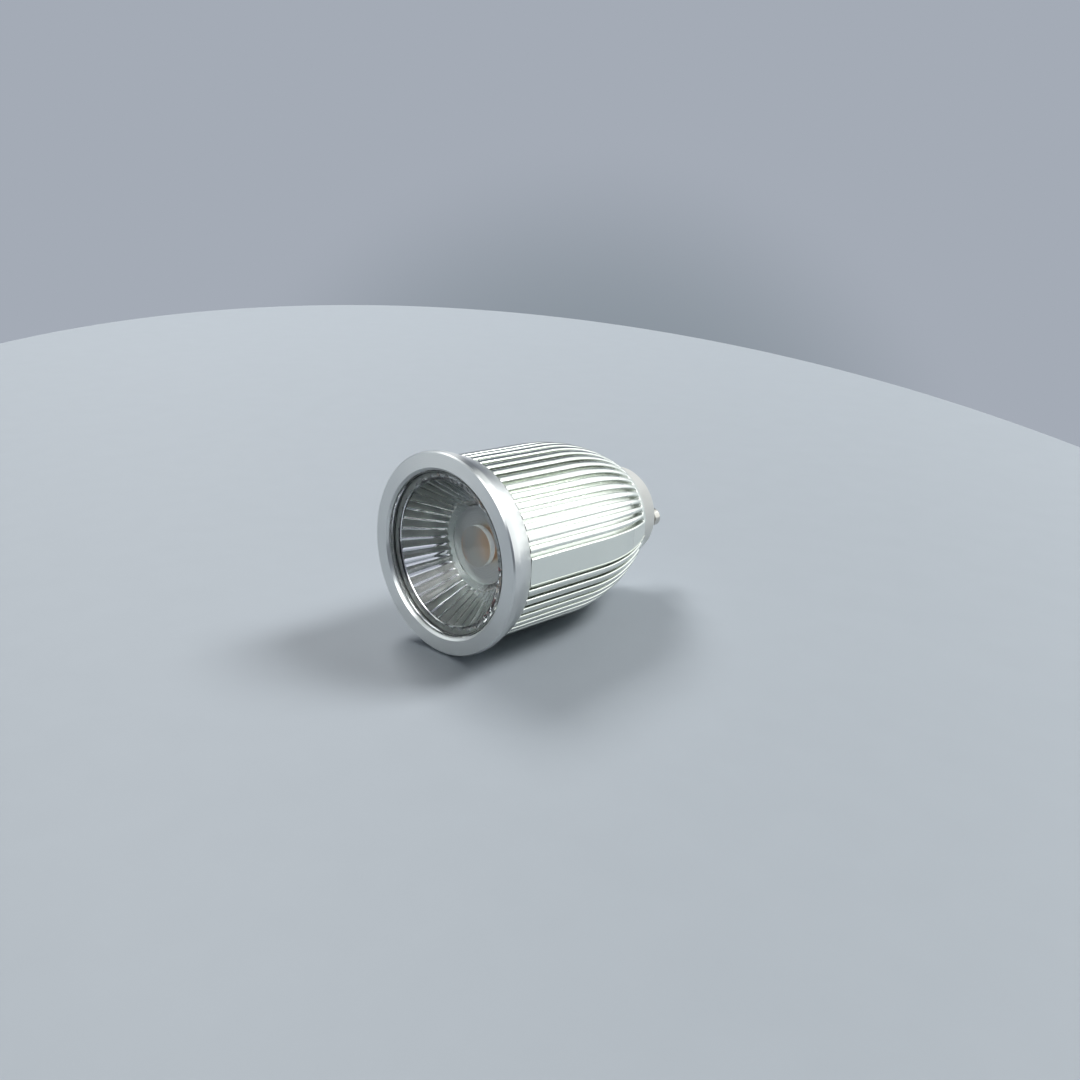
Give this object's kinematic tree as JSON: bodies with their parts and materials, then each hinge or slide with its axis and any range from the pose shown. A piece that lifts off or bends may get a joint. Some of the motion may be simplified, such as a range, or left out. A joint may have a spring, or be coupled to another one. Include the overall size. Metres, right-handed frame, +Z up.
{
  "type": "gu10 spotlight bulb",
  "caption": "Reflector-style light bulb with a finned aluminium body, a clear prism lens behind a screwed-on ring, and a white base with twist-lock contact pins.",
  "frame": {"origin": "middle of the base's seat, the flat end that the contact pins stand on, on the lamp's own axis", "axes": "+Y along the lamp's axis toward the pins, so the light leaves toward -Y; X through the smooth panels of the heat sink; +Z up, with the lamp lying on its side as in the picture"},
  "size_m": [0.05, 0.0774, 0.05],
  "materials": {
    "turned_aluminium": "bright turned",
    "finned_aluminium": "bright machined, clear anodised",
    "clear_acrylic": "clear moulded",
    "plate_aluminium": "plain milled",
    "silicone_pad": "soft matte",
    "led_ceramic": "white matte",
    "silicone_dam": "white satin",
    "yellow_phosphor": "smooth silicone filling",
    "holder_plastic": "moulded",
    "screw_steel": "zinc plated",
    "white_plastic": "moulded",
    "plated_brass": "nickel plated",
    "board_laminate": "lacquered",
    "ferrite": "sintered, matte",
    "winding_tape": "taped winding",
    "capacitor_sleeve": "shrink sleeve",
    "inductor_sleeve": "shrink sleeve on ferrite",
    "black_epoxy": "moulded epoxy",
    "resistor_coating": "coated ceramic",
    "red_insulation": "extruded",
    "black_insulation": "extruded",
    "white_insulation": "extruded"
  },
  "bodies": {
    "root": {"front_ring": "turned_aluminium", "heat_sink": "finned_aluminium", "lens": "clear_acrylic", "led_plate": "plate_aluminium", "thermal_pad": "silicone_pad", "led_base": "led_ceramic", "led_dam": "silicone_dam", "phosphor": "yellow_phosphor", "led_holder": "holder_plastic", "holder_screws": "screw_steel", "plate_screws": "screw_steel", "driver_housing": "white_plastic", "base_cap": "white_plastic", "contact_pin_right": "plated_brass", "contact_pin_left": "plated_brass", "driver_board": "board_laminate", "transformer_core": "ferrite", "transformer_coil": "winding_tape", "input_capacitor": "capacitor_sleeve", "output_capacitor": "capacitor_sleeve", "filter_inductor": "inductor_sleeve", "bridge_rectifier": "black_epoxy", "driver_chip": "black_epoxy", "fuse_resistor": "resistor_coating", "led_lead_red": "red_insulation", "led_lead_black": "black_insulation", "mains_lead_right": "white_insulation", "mains_lead_left": "white_insulation"}
  },
  "joints": []
}
